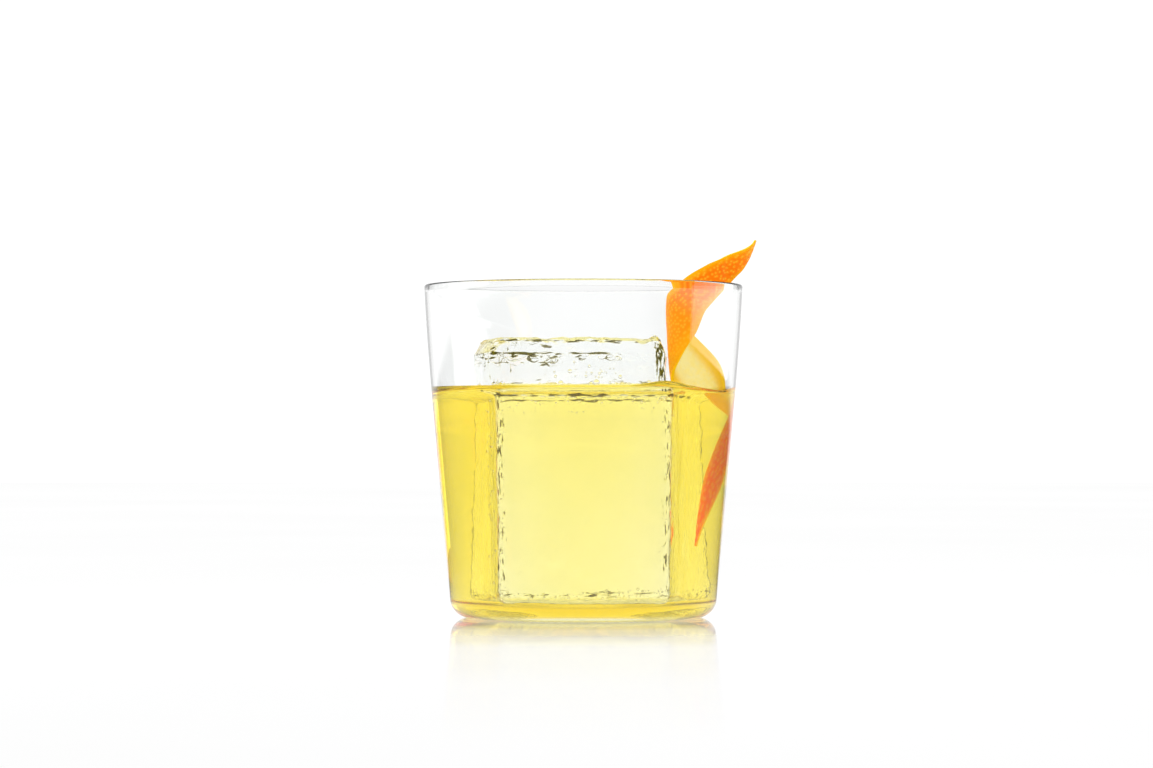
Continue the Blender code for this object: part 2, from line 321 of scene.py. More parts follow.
def ice_rings():
    """Rings of the block as (height, inset from the side, scale towards the middle)."""
    rings = [(ICE_LOW, ICE_EDGE_LOW, share) for share in np.linspace(0.0, 1.0, 12)[:-1]]
    for turn in np.linspace(0.0, math.pi / 2, 10):
        rings.append((ICE_LOW + ICE_EDGE_LOW * (1 - math.cos(turn)), ICE_EDGE_LOW * (1 - math.sin(turn)), 1.0))
    low, high = ICE_LOW + ICE_EDGE_LOW, ICE_TOP - ICE_EDGE_TOP
    bend = LEVEL + 5 * MM
    rings += [(z, 0.0, 1.0) for z in np.linspace(low, bend, round((bend - low) / ICE_STEP))[1:]]
    rings += [(z, 0.0, 1.0) for z in np.linspace(bend, high, round((high - bend) / ICE_FINE_STEP))[1:-1]]
    rises, insets = zip(*ICE_CHAMFER)
    for share in np.linspace(0.0, len(rises) - 1, 22):
        rise, inset = (np.interp(share, range(len(rises)), side) * MM for side in (rises, insets))
        rings.append((float(high + rise), float(inset), 1.0))
    rings += [(ICE_TOP, ICE_EDGE_TOP, share) for share in np.linspace(1.0, 0.0, 46)[1:]]
    return rings


def bump(value, middle, width):
    return math.exp(-(((value - middle) / width) ** 2))


def crest_relief(place):
    """Rough melt on the part above the drink: along the chamfer, at a crushed corner, with dips and a knob on top."""
    patch = float(smooth_step(0.6 + 1.5 * noise.noise(place / (8 * MM))))
    band = bump(place.z, *ICE_BROW) * patch + bump(place.z, *ICE_RIDGE)
    crushed = math.exp(-(((place - ICE_SPECKLE).length / (2.6 * MM)) ** 2))
    rough = noise.noise_vector(place / (2.3 * MM)) * (0.42 * MM * band)
    rough += noise.noise_vector(place / (0.95 * MM)) * (0.2 * MM * band + 0.3 * MM * crushed)
    crest = float(smooth_step((place.z - 73 * MM) / (2.5 * MM)))
    dips = max(noise.noise(Vector((place.x, place.y * 0.3, 0.0)) / (6.5 * MM)) - 0.05, 0.0)
    knob = (place.to_2d() - ICE_KNOB).length / (2.6 * MM)
    rough.z += (1.6 * MM * math.exp(-knob * knob) - 3.2 * MM * dips) * crest
    return rough


def ice_relief(place, corner, side):
    """Melted unevenness of the ice at a place: broad, fine, and jagged along the upright edges."""
    broad = noise.noise_vector(place / ICE_RELIEF_SIZE) * ICE_RELIEF
    fine = noise.noise_vector(place / (2.6 * MM)) * (0.09 * MM) + noise.noise_vector(place / MM) * (0.02 * MM)
    relief = broad + fine
    if corner > 0.0:
        chips = noise.noise(Vector((place.x, place.y, place.z * 0.35)) / (1.1 * MM))
        chips += 0.7 * noise.noise(place / (1.9 * MM))
        relief += side * (chips * 0.36 * MM * corner)
    if place.z > 68 * MM:
        relief += crest_relief(place)
    if place.z < ICE_LOW + 5 * MM:
        foot = float(smooth_step((ICE_LOW + 5 * MM - place.z) / (3 * MM)))
        relief += noise.noise_vector(place / (3.3 * MM)) * (0.25 * MM * foot)
        relief += noise.noise_vector(place / (1.1 * MM)) * (0.16 * MM * foot)
    return relief


def ice_rows(offset):
    angles = ice_angles()
    corner = corner_share(angles, ICE_BODY_FACES)
    rows = []
    for z, inset, scale in ice_rings():
        if scale == 0.0:
            place = Vector((0.0, ICE_MIDDLE_Y, z))
            sign = 1.0 if z > LEVEL else -1.0
            rows.append([place + ice_relief(place, 0.0, Vector()) + Vector((0.0, 0.0, sign * offset))])
            continue
        radii = (block_radius(angles, z) - inset) * scale
        row = []
        for angle, radius, edge in zip(angles, radii, corner):
            side = Vector((math.cos(angle), math.sin(angle), 0.0))
            place = side * radius + Vector((0.0, ICE_MIDDLE_Y, z))
            normal = side.copy()
            if z < ICE_LOW + ICE_EDGE_LOW:
                normal.z = -inset / ICE_EDGE_LOW
            elif z > ICE_TOP - ICE_EDGE_TOP:
                normal.z = inset / ICE_EDGE_TOP
            if scale < 1.0:
                normal = Vector((0.0, 0.0, 1.0 if z > LEVEL else -1.0))
                edge = 0.0
            normal.normalize()
            row.append(place + ice_relief(place, edge, side) + normal * offset)
        rows.append(row)
    return rows

def band_shade(x, z, speckle):
    """How strongly the ice is painted with shade at a place in mm, in bands along it; above 1 almost throughout."""
    left = float(smooth_step((12 - x) / 6))
    middle = float(smooth_step((-4 - x) / 4))
    bands = (
        1.25 * bump(z, 75.7, 0.8) * (0.8 + 0.35 * bump(x, 2.4, 8.5)),
        1.2 * bump(z, 76.7, 0.35),
        1.3 * bump(z, 72.3, 0.45) * left,
        0.95 * bump(z, 71.2, 1.2) * middle,
        1.1 * bump(z, 69.8, 0.4) * middle,
        1.1 * math.exp(-((speckle / 3.0) ** 2)),
        bump(z, 64.9, 0.35),
        1.3 * bump(z, 61.3, 0.55),
        0.75 * bump(z, 7.4, 1.8),
        bump(z, 5.2, 0.3),
    )
    return max(bands)


def mark_painted_shade(item):
    """Marks where the ice is painted with shade: in bands along it, and up along its edges."""
    mesh = item.data
    bands, edges = [], []
    angles = [math.atan2(vertex.co.y - ICE_MIDDLE_Y, vertex.co.x) for vertex in mesh.vertices]
    cap, body = (corner_share(np.array(angles), faces) for faces in (ICE_CAP_FACES, ICE_BODY_FACES))
    for index, vertex in enumerate(mesh.vertices):
        x, _, z = (value / MM for value in vertex.co)
        upright = -0.6 < vertex.normal.z < 0.85
        bands.append(band_shade(x, z, (vertex.co - ICE_SPECKLE).length / MM) if upright else 0.0)
        if vertex.co.z > LEVEL:
            share = float(cap[index]) * (1.2 if x > 10 else 0.55)
        else:
            share = float(body[index]) * (0.85 if vertex.co.y < 0 else 0.65)
        edges.append(share * float(smooth_step((z - 7) / 3)) * float(smooth_step((76 - z) / 1.5)))
    for name, values in (("bands", bands), ("edges", edges)):
        attribute = mesh.attributes.new(name, "FLOAT", "POINT")
        attribute.data.foreach_set("value", values)


# Drink


def nearest_distance(x, y, outline):
    """Distance from each place to the nearest point of an outline."""
    best = np.full(x.shape, 1.0)
    for px, py in outline:
        best = np.minimum(best, np.hypot(x - px, y - py))
    return best


def surface_height(x, y, ice_outline, twist_outline):
    """Height of the drink's surface, which climbs at the glass, the ice and the peel."""
    from_wall = np.maximum(inner_radius(LEVEL) - np.hypot(x, y), 0.0)
    height = LEVEL + MENISCUS * np.exp(-from_wall / MENISCUS_REACH)
    direction = np.degrees(np.arctan2(y, x))
    for middle, rise, width in WAVES:
        height = height + rise * np.exp(-(((direction - middle) / width) ** 2) - from_wall / WAVE_REACH)
    from_ice = nearest_distance(x, y, ice_outline)
    height = height + ICE_MENISCUS * np.exp(-from_ice / ICE_MENISCUS_REACH)
    from_twist = nearest_distance(x, y, twist_outline)
    return height + TWIST_MENISCUS * np.exp(-from_twist / MENISCUS_REACH)


def drink_rows(ice_outline, twist_outline):
    low = FLOOR_Z - INTO_GLASS
    up = (math.tan(TAPER), 1.0)

    def side(z):
        return inner_radius(z) + INTO_GLASS

    top = LEVEL + MENISCUS
    profile = [Vector((share * 0.03, low)) for share in (0.0, 0.3, 0.6, 0.9)]
    profile += reversed(fillet((float(side(low)), low), up, (-1, 0), INNER_ROUND, 16))
    profile += wall_points(side, 10 * MM, top, 60)
    rows = [ring(point.x, point.y, DRINK_SEGMENTS) for point in profile]
    angles = np.arange(DRINK_SEGMENTS) * (2 * math.pi / DRINK_SEGMENTS)
    edge = float(side(top))
    rim_z = surface_height(edge * np.cos(angles), edge * np.sin(angles), ice_outline, twist_outline)
    share = (rim_z - 10 * MM) / (top - 10 * MM)
    for row in range(len(profile) - 61, len(profile)):
        z = 10 * MM + (profile[row].y - 10 * MM) * share
        radius = side(z)
        rows[row] = list(zip(radius * np.cos(angles), radius * np.sin(angles), z))
    radii = list(np.arange(edge - 0.1 * MM, DRINK_INNER, -DRINK_STEP)) + [8 * MM]
    for radius in radii:
        x, y = radius * np.cos(angles), radius * np.sin(angles)
        z = surface_height(x, y, ice_outline, twist_outline)
        rows.append(list(zip(x, y, z)))
    rows.append([(0.0, 0.0, LEVEL)])
    return rows


def cut(item, cutters):
    """Cuts the pieces out of an item, for good."""
    for cutter in cutters:
        modifier = item.modifiers.new(cutter.name, "BOOLEAN")
        modifier.operation = "DIFFERENCE"
        modifier.solver = "MANIFOLD"
        modifier.object = cutter
    graph = bpy.context.evaluated_depsgraph_get()
    mesh = bpy.data.meshes.new_from_object(item.evaluated_get(graph))
    item.modifiers.clear()
    item.data = mesh
    mesh.shade_smooth()
    mesh.set_sharp_from_angle(angle=math.radians(40))
    for cutter in cutters:
        bpy.data.objects.remove(cutter)


# Bubbles and drops


def balls(name, places, material, stretch=1.0, squash=1.0):
    """Small balls in one mesh, at (centre, radius), each stretched along x and pressed flat along y."""
    mesh = bmesh.new()
    bmesh.ops.create_icosphere(mesh, subdivisions=2, radius=1.0)
    mesh.verts.ensure_lookup_table()
    shape = [vert.co.copy() for vert in mesh.verts]
    sides = [[vert.index for vert in face.verts] for face in mesh.faces]
    mesh.free()
    points, faces = [], []
    for centre, radius in places:
        start = len(points)
        points += [centre + Vector((p.x * stretch, p.y * squash, p.z)) * radius for p in shape]
        faces += [[start + index for index in side] for side in sides]
    node = "ice_block" if material else None
    return mesh_object(name, points, faces, node, material)


def scattered(seed, patches):
    """Places in patches of (count, low corner, high corner, smallest radius, largest), in mm, clear of each other."""
    chance = random.Random(seed)
    places = []
    for count, low, high, least, most in patches:
        for _ in range(count):
            radius = (least + (most - least) * chance.random() ** 2.5) * MM
            centre = Vector([chance.uniform(a, b) * MM for a, b in zip(low, high)])
            if all((centre - other).length > radius + size + 0.05 * MM for other, size in places):
                places.append((centre, radius))
    return places


def air_bubbles():
    """Bubbles of air on the ice's sides in the drink, as places: at its ledge, its upright edges and its foot."""
    face = ICE_MIDDLE_Y / MM - 22.3
    patches = (
        (60, (-20.0, face - 0.2, 59.0), (20.5, face, 60.6), 0.12, 0.5),
        (60, (-20.0, face - 0.1, 56.5), (20.5, face, 59.2), 0.08, 0.25),
        (90, (-24.6, face, 6.5), (-22.6, face + 2.5, 60.0), 0.10, 0.38),
        (60, (-22.4, face - 0.1, 6.5), (-20.0, face + 0.1, 60.0), 0.08, 0.30),
        (70, (22.2, face, 7.0), (23.6, face + 3.0, 60.0), 0.08, 0.32),
        (40, (19.0, face - 0.1, 7.0), (21.5, face + 0.1, 60.0), 0.06, 0.22),
        (90, (-20.0, face, 6.2), (20.5, face + 0.7, 8.6), 0.08, 0.40),
        (45, (4.0, face, 5.6), (21.0, face + 0.9, 9.4), 0.10, 0.50),
        (60, (-19.0, face, 10.0), (20.0, face + 0.05, 58.0), 0.05, 0.14),
    )
    return scattered(11, patches)


def ledge_air():
    """Flat pockets of air in a row along the ledge of the ice's front, as places."""
    chance = random.Random(5)
    places = []
    x = -20.5
    while x < 20.5:
        radius = chance.uniform(0.22, 0.55)
        x += 2.5 * radius
        places.append((Vector((x, ICE_MIDDLE_Y / MM - 22.3, chance.uniform(60.5, 61.1))) * MM, radius * MM))
        x += 2.5 * radius + chance.choice((0.05, 0.1, 0.3, 0.8))
    return places


def melt_drops():
    """Drops of melt on the part of the ice's front above the drink, as places."""
    face = ICE_MIDDLE_Y / MM - 22.7
    patches = (
        (26, (-12.0, face, 65.5), (11.0, face, 70.8), 0.15, 0.62),
        (14, (0.0, face, 65.8), (9.0, face, 68.5), 0.2, 0.7),
        (34, (-27.0, face, 63.6), (21.0, face, 64.6), 0.25, 0.9),
    )
    return scattered(23, patches)


# Orange twist


def twist_height(turn):
    tip = max(TWIST_TIP_TURN - turn, 0.0) / (TWIST_TIP_TURN - TWIST_TURNS[0])
    tail = max(turn - TWIST_TAIL_TURN, 0.0)
    fall = TWIST_DROP * (turn - math.pi / 2) + TWIST_TAIL_DROP * tail * tail
    bow = math.exp(-(((turn - math.pi / 2) / TWIST_BOW_TURN) ** 2))
    return TWIST_FRONT_Z - fall + TWIST_BOW * bow + TWIST_TIP_LIFT * tip * tip


def twist_width(turn):
    degrees = math.degrees(turn)
    for (low, width), (high, following) in zip(TWIST_WIDTHS, TWIST_WIDTHS[1:]):
        if degrees <= high:
            break
    share = min((degrees - low) / (high - low), 1.0)
    return (width + (following - width) * (share + float(smooth_step(share))) / 2) * MM


def twist_radius(turn, z):
    flare = max(TWIST_FLARE_TURN - turn, 0.0) / (TWIST_FLARE_TURN - TWIST_TURNS[0])
    return TWIST_RADIUS + TWIST_SWELL * max(z - LEVEL, 0.0) + TWIST_FLARE * flare**TWIST_FLARE_POWER


def twist_point(turn, across, lift):
    """A point on the strip: across it from its middle line, and lift outwards from its middle surface."""
    middle_z = twist_height(turn)
    middle_radius = twist_radius(turn, middle_z)
    step = 0.01
    slope = math.atan2(middle_z - twist_height(turn + step), middle_radius * step)
    z = middle_z + across * math.cos(slope)
    around = turn + across * math.sin(slope) / middle_radius
    outwards = Vector((math.cos(around), -math.sin(around)))
    drift = TWIST_SHIFT * float(smooth_step((LEVEL - z) / (LEVEL - TWIST_SHIFT_Z)))
    flat = TWIST_AXIS - Vector((drift, 0.0)) + outwards * twist_radius(around, z)
    limit = float(inner_radius(min(z, HEIGHT))) - TWIST_WALL_GAP - TWIST_THICKNESS / 2
    limit += TWIST_OVER_RIM * max(z - HEIGHT - 0.3 * MM, 0.0)
    if flat.length > limit:
        flat *= limit / flat.length
    flat += outwards * lift
    return Vector((flat.x, flat.y, z))


def strip_thickness(turn):
    start, stop = TWIST_TURNS
    from_end = min(turn - start, stop - turn) / TWIST_END_TURN
    return TWIST_THICKNESS * (TWIST_END_THICKNESS + (1 - TWIST_END_THICKNESS) * float(smooth_step(from_end)))


def pores():
    """Places of the skin's pores, as (distance along the strip, distance across it)."""
    chance = random.Random(7)
    start, stop = TWIST_TURNS
    length = (stop - start) * TWIST_RADIUS * 1.4
    places = []
    along = 0.0
    while along < length:
        across = -11 * MM
        while across < 11 * MM:
            places.append((along + chance.uniform(-0.36, 0.36) * PORE_SPACING, across + chance.uniform(-0.36, 0.36) * PORE_SPACING))
            across += PORE_SPACING
        along += PORE_SPACING * 0.9
    return np.array(places)


def twist_rows(offset, outer_count, inner_count, steps, pore_places=None):
    """Rows round the strip's section, and for each row the share of a pore at each vertex."""
    start, stop = TWIST_TURNS
    rows, marks, tints = [], [], []
    scale = TWIST_RADIUS * 1.4
    outer_shares = np.linspace(-1.0, 1.0, outer_count)
    inner_shares = np.linspace(1.0, -1.0, inner_count)
    for step in range(steps + 1):
        turn = start + (stop - start) * step / steps
        half = twist_width(turn) / 2 + offset
        body = strip_thickness(turn) / 2
        along = (turn - start) * scale
        near = None
        if pore_places is not None:
            near = pore_places[np.abs(pore_places[:, 0] - along) < 2 * PORE_RADIUS]
        row, mark, tint = [], [], []
        for share in outer_shares:
            thick = body * (1 - TWIST_THINNING * share**4) + offset
            pore = 0.0
            if near is not None and len(near):
                far = np.min(np.hypot(near[:, 0] - along, near[:, 1] - half * share))
                pore = float(np.exp(-((far / PORE_RADIUS) ** 2) * 2.2))
            row.append(twist_point(turn, half * share, thick - PORE_DEPTH * pore * (1 - abs(share) ** 6)))
            mark.append(pore)
            tint.append(abs(share))
        for share in inner_shares:
            thick = body * (1 - TWIST_THINNING * share**4) + offset
            row.append(twist_point(turn, half * share * 0.985, -thick))
            mark.append(0.0)
            tint.append(abs(share))
        rows.append(row)
        marks.append(mark)
        tints.append(tint)
    return rows, marks, tints


def twist_piece(name, offset, outer_count, inner_count, steps, material, pore_places=None):
    rows, marks, tints = twist_rows(offset, outer_count, inner_count, steps, pore_places)
    ends = [sum(row, Vector()) / len(row) for row in (rows[0], rows[-1])]
    closed = [[ends[0]]] + rows + [[ends[1]]]
    node = "orange_twist" if material else None
    item = make_piece(name, closed, node, None, 60)
    if not material:
        return item
    mesh = item.data
    flat_marks = [0.0] + [m for mark in marks for m in mark] + [0.0]
    flat_tints = [1.0] + [t for tint in tints for t in tint] + [1.0]
    for attribute_name, values in (("pore", flat_marks), ("edge", flat_tints)):
        attribute = mesh.attributes.new(attribute_name, "FLOAT", "POINT")
        attribute.data.foreach_set("value", values)
    skin, pith = material
    mesh.materials.append(skin)
    mesh.materials.append(pith)
    width = outer_count + inner_count
    for face in mesh.polygons:
        places = [(v - 1) % width for v in face.vertices]
        face.material_index = 0 if max(places) < outer_count else 1
    return item


def twist_outline():
    """Where the strip's middle surface passes through the drink's level, as points in plan."""
    start, stop = TWIST_TURNS
    outline = []
    for turn in np.linspace(start, stop, 900):
        half = twist_width(turn) / 2
        across = LEVEL - twist_height(turn)
        for _ in range(4):
            across += LEVEL - twist_point(turn, across, 0.0).z
        if abs(across) < half:
            for lift in (-0.5, 0.5):
                place = twist_point(turn, across, lift * TWIST_THICKNESS)
                outline.append((place.x, place.y))
    return outline[::6]


def ice_outline():
    """The ice's outline at the drink's level, as points in plan."""
    angles = ice_angles()
    radii = block_radius(angles, LEVEL)
    return [(r * math.cos(a), ICE_MIDDLE_Y + r * math.sin(a)) for a, r in zip(angles, radii)]


# Materials


def new_material(name):
    material = bpy.data.materials.new(name)
    material.use_nodes = True
    tree = material.node_tree
    return material, tree, tree.nodes["Principled BSDF"]


def add_node(tree, kind, **values):
    node = tree.nodes.new(kind)
    for key, value in values.items():
        if hasattr(node, key):
            setattr(node, key, value)
        else:
            node.inputs[key.replace("_", " ")].default_value = value
    return node


def noise_ramp(tree, size, stops, detail=3.0, coordinates="Object"):
    """A colour ramp driven by noise of a size in metres."""
    place = add_node(tree, "ShaderNodeTexCoord")
    field = add_node(tree, "ShaderNodeTexNoise")
    field.inputs["Scale"].default_value = 1 / size
    field.inputs["Detail"].default_value = detail
    tree.links.new(place.outputs[coordinates], field.inputs["Vector"])
    ramp = add_node(tree, "ShaderNodeValToRGB")
    ramp.color_ramp.elements[0].position, ramp.color_ramp.elements[0].color = stops[0]
    ramp.color_ramp.elements[1].position, ramp.color_ramp.elements[1].color = stops[1]
    tree.links.new(field.outputs["Fac"], ramp.inputs["Fac"])
    return field, ramp


def clear_material(name, ior, tint_a, tint_b, size, rough=(0.0, 0.0)):
    material, tree, shader = new_material(name)
    shader.inputs["Transmission Weight"].default_value = 1.0
    shader.inputs["IOR"].default_value = ior
    _, ramp = noise_ramp(tree, size, ((0.35, (*tint_a, 1)), (0.65, (*tint_b, 1))))
    tree.links.new(ramp.outputs["Color"], shader.inputs["Base Color"])
    if rough[1] > 0:
        _, rough_ramp = noise_ramp(tree, size / 4, ((0.5, (rough[0],) * 3 + (1,)), (0.75, (rough[1],) * 3 + (1,))))
        tree.links.new(rough_ramp.outputs["Color"], shader.inputs["Roughness"])
    else:
        shader.inputs["Roughness"].default_value = rough[0]
    return material, tree, shader


def absorb(tree, colour, density):
    """Fills the body with light absorption: density per metre, less what the colour passes."""
    node = add_node(tree, "ShaderNodeVolumeAbsorption")
    node.inputs["Color"].default_value = (*colour, 1)
    node.inputs["Density"].default_value = density
    tree.links.new(node.outputs["Volume"], tree.nodes["Material Output"].inputs["Volume"])


def glass_material():
    """Clear. The drink's yellow is painted on the foot's outer ring, stronger at the table: a painted reflection of
    the drink, which a clear glass foot shows by refraction.
    """
    material, tree, shader = clear_material("clear_glass", 1.5, (0.985, 0.995, 0.99), (1.0, 1.0, 1.0), 0.03)
    absorb(tree, (0.35, 0.42, 0.35), 8.0)
    place = add_node(tree, "ShaderNodeTexCoord")
    split = add_node(tree, "ShaderNodeSeparateXYZ")
    tree.links.new(place.outputs["Object"], split.inputs["Vector"])
    # painted reflection of the drink on the outer foot, by radius and height
    foot = add_node(tree, "ShaderNodeMix", data_type="RGBA")
    tree.links.new(shader.inputs["Base Color"].links[0].from_socket, foot.inputs["A"])
    foot.inputs["B"].default_value = FOOT_PAINTED_REFLECTION
    flat = add_node(tree, "ShaderNodeVectorMath", operation="MULTIPLY")
    tree.links.new(place.outputs["Object"], flat.inputs[0])
    flat.inputs[1].default_value = (1, 1, 0)
    far = add_node(tree, "ShaderNodeVectorMath", operation="LENGTH")
    tree.links.new(flat.outputs["Vector"], far.inputs[0])
    share = math_node(
        tree, "MULTIPLY", curve(tree, split.outputs["Z"], FOOT_REFLECTION_BY_HEIGHT), curve(tree, far.outputs["Value"], FOOT_REFLECTION_BY_RADIUS)
    )
    tree.links.new(share, foot.inputs["Factor"])
    tree.links.new(foot.outputs["Result"], shader.inputs["Base Color"])
    return material


def drink_material():
    material, tree, _ = clear_material("yellow_drink", 1.35, (0.99, 0.99, 0.985), (1.0, 1.0, 1.0), 0.02)
    absorb(tree, (0.985, 0.905, 0.02), 46.0)
    return material


def streaks(tree, mark, sizes, detail):
    """0 to 1 in streaks of given sizes in mm, where the mark of that name is set: the ice's painted shade."""
    place = add_node(tree, "ShaderNodeTexCoord")
    scaled = add_node(tree, "ShaderNodeVectorMath", operation="MULTIPLY")
    tree.links.new(place.outputs["Object"], scaled.inputs[0])
    scaled.inputs[1].default_value = [1 / (size * MM) for size in sizes]
    field = add_node(tree, "ShaderNodeTexNoise")
    field.inputs["Scale"].default_value = 1.0
    field.inputs["Detail"].default_value = detail
    tree.links.new(scaled.outputs["Vector"], field.inputs["Vector"])
    shade_mark = add_node(tree, "ShaderNodeAttribute", attribute_name=mark)
    near = math_node(tree, "MULTIPLY_ADD", shade_mark.outputs["Fac"], 0.34, -0.34)
    return curve(tree, math_node(tree, "ADD", field.outputs["Fac"], near), ((0.0, 0.0), (0.49, 0.0), (0.6, 1.0), (1.0, 1.0)))


def ice_material():
    """Clear, with painted shade: olive to black streaks standing for light that the ice turns aside."""
    material, tree, shader = clear_material("clear_ice", 1.31, (0.97, 0.98, 0.98), (1.0, 1.0, 1.0), 0.012)
    shader.inputs["Transmission Weight"].default_value = 0.95  # faintly cloudy
    absorb(tree, (0.5, 0.55, 0.55), 4.0)
    along = streaks(tree, "bands", (3.4, 3.4, 0.7), 2.5)
    upright = streaks(tree, "edges", (0.6, 0.6, 3.4), 2.0)
    ramp = add_node(tree, "ShaderNodeValToRGB")
    # Painted shade: clear, then olive, then nearly black, multiplied into the ice's colour
    stops = ((0.0, (1, 1, 1, 1)), (0.3, (0.78, 0.75, 0.4, 1)), (0.6, (0.16, 0.12, 0.03, 1)), (1.0, (0.02, 0.014, 0.0, 1)))
    while len(ramp.color_ramp.elements) < len(stops):
        ramp.color_ramp.elements.new(0.5)
    for element, (position, colour) in zip(ramp.color_ramp.elements, stops):
        element.position = position
        element.color = colour
    tree.links.new(math_node(tree, "MAXIMUM", along, upright), ramp.inputs["Fac"])
    tint = add_node(tree, "ShaderNodeMix", data_type="RGBA", blend_type="MULTIPLY")
    tint.inputs["Factor"].default_value = 1.0
    tree.links.new(shader.inputs["Base Color"].links[0].from_socket, tint.inputs["A"])
    tree.links.new(ramp.outputs["Color"], tint.inputs["B"])
    tree.links.new(tint.outputs["Result"], shader.inputs["Base Color"])
    return material


def skin_material():
    material, tree, shader = new_material("orange_skin")
    edge = add_node(tree, "ShaderNodeAttribute", attribute_name="edge")
    pore = add_node(tree, "ShaderNodeAttribute", attribute_name="pore")
    # Painted highlight: the skin painted lighter orange towards the strip's edges
    across = add_node(tree, "ShaderNodeValToRGB")
    across.color_ramp.elements[0].position = 0.55
    across.color_ramp.elements[0].color = (1.0, 0.19, 0.0, 1)
    across.color_ramp.elements[1].position = 0.98
    across.color_ramp.elements[1].color = (1.0, 0.42, 0.0, 1)
    tree.links.new(edge.outputs["Fac"], across.inputs["Fac"])
    place = add_node(tree, "ShaderNodeTexCoord")
    split = add_node(tree, "ShaderNodeSeparateXYZ")
    tree.links.new(place.outputs["Object"], split.inputs["Vector"])
    # Painted light: the skin painted yellower by height
    lit_yellow = add_node(tree, "ShaderNodeMix", data_type="RGBA")
    lit_yellow.inputs["B"].default_value = (1.0, 0.42, 0.0, 1)
    tree.links.new(across.outputs["Color"], lit_yellow.inputs["A"])
    tree.links.new(curve(tree, split.outputs["Z"], SKIN_PAINTED_LIGHT), lit_yellow.inputs["Factor"])
    light = add_node(tree, "ShaderNodeMix", data_type="RGBA")
    light.inputs["B"].default_value = (1.0, 0.46, 0.02, 1)
    tree.links.new(lit_yellow.outputs["Result"], light.inputs["A"])
    tree.links.new(pore.outputs["Fac"], light.inputs["Factor"])
    tree.links.new(light.outputs["Result"], shader.inputs["Base Color"])
    shader.inputs["Roughness"].default_value = 0.4
    shader.inputs["Specular IOR Level"].default_value = 0.05
    shader.inputs["Subsurface Weight"].default_value = 0.25
    shader.inputs["Subsurface Radius"].default_value = (1.0, 0.4, 0.1)
    shader.inputs["Subsurface Scale"].default_value = 0.6 * MM
    return material


def pith_material():
    material, tree, shader = new_material("orange_pith")
    _, ramp = noise_ramp(tree, 0.9 * MM, ((0.3, (1.0, 0.93, 0.42, 1)), (0.75, (1.0, 0.98, 0.66, 1))))
    edge = add_node(tree, "ShaderNodeAttribute", attribute_name="edge")
    rim = add_node(tree, "ShaderNodeMix", data_type="RGBA")
    rim.inputs["B"].default_value = (0.95, 0.6, 0.0, 1)
    tree.links.new(ramp.outputs["Color"], rim.inputs["A"])
    tree.links.new(curve(tree, edge.outputs["Fac"], ((0.0, 0.0), (0.35, 0.1), (0.8, 0.9), (1.0, 1.0))), rim.inputs["Factor"])
    tree.links.new(rim.outputs["Result"], shader.inputs["Base Color"])
    shader.inputs["Roughness"].default_value = 0.6
    shader.inputs["Specular IOR Level"].default_value = 0.1
    return material


def math_node(tree, operation, *values):
    """A Math node whose inputs are numbers or other nodes' outputs."""
    node = add_node(tree, "ShaderNodeMath", operation=operation)
    for index, value in enumerate(values):
        if isinstance(value, (int, float)):
            node.inputs[index].default_value = value
        else:
            tree.links.new(value, node.inputs[index])
    return node.outputs["Value"]


def curve(tree, value, points):
    """Reads a smooth curve through (place, height) points."""
    spread = points[-1][0] - points[0][0]
    ramp = add_node(tree, "ShaderNodeValToRGB")
    ramp.color_ramp.interpolation = "EASE"
    while len(ramp.color_ramp.elements) < len(points):
        ramp.color_ramp.elements.new(0.5)
    for element, (place, height) in zip(ramp.color_ramp.elements, points):
        element.position = (place - points[0][0]) / spread
        element.color = (height, height, height, 1)
    shifted = math_node(tree, "MULTIPLY_ADD", value, 1 / spread, -points[0][0] / spread)
    tree.links.new(shifted, ramp.inputs["Fac"])
    return ramp.outputs["Color"]


def light_path(tree):
    """What befalls light on its way: falls on matt things, mirrored inside or outside, at an edge, and its gain."""
    path = add_node(tree, "ShaderNodeLightPath")
    lights = math_node(tree, "GREATER_THAN", path.outputs["Diffuse Depth"], 0.5)
    mirrored = math_node(tree, "GREATER_THAN", path.outputs["Glossy Depth"], 0.5)
    passed = path.outputs["Transmission Depth"]
    inside = math_node(tree, "MULTIPLY", mirrored, math_node(tree, "GREATER_THAN", passed, 2.5))
    polished = math_node(tree, "MULTIPLY", mirrored, path.outputs["Is Singular Ray"])
    outside = math_node(tree, "MULTIPLY", polished, math_node(tree, "LESS_THAN", passed, 0.5))
    edge = math_node(tree, "MULTIPLY", mirrored, math_node(tree, "COMPARE", passed, 1.5, 0.75))
    through = math_node(tree, "MAXIMUM", outside, math_node(tree, "GREATER_THAN", passed, 0.5))
    gain = math_node(tree, "MULTIPLY", curve(tree, passed, ROOM_GAIN), 2.0)
    return lights, inside, outside, edge, through, gain


def dimmed(tree, amount, share):
    """1 less an amount of what the share falls short of 1."""
    return math_node(tree, "SUBTRACT", 1.0, math_node(tree, "MULTIPLY", amount, math_node(tree, "SUBTRACT", 1.0, share)))


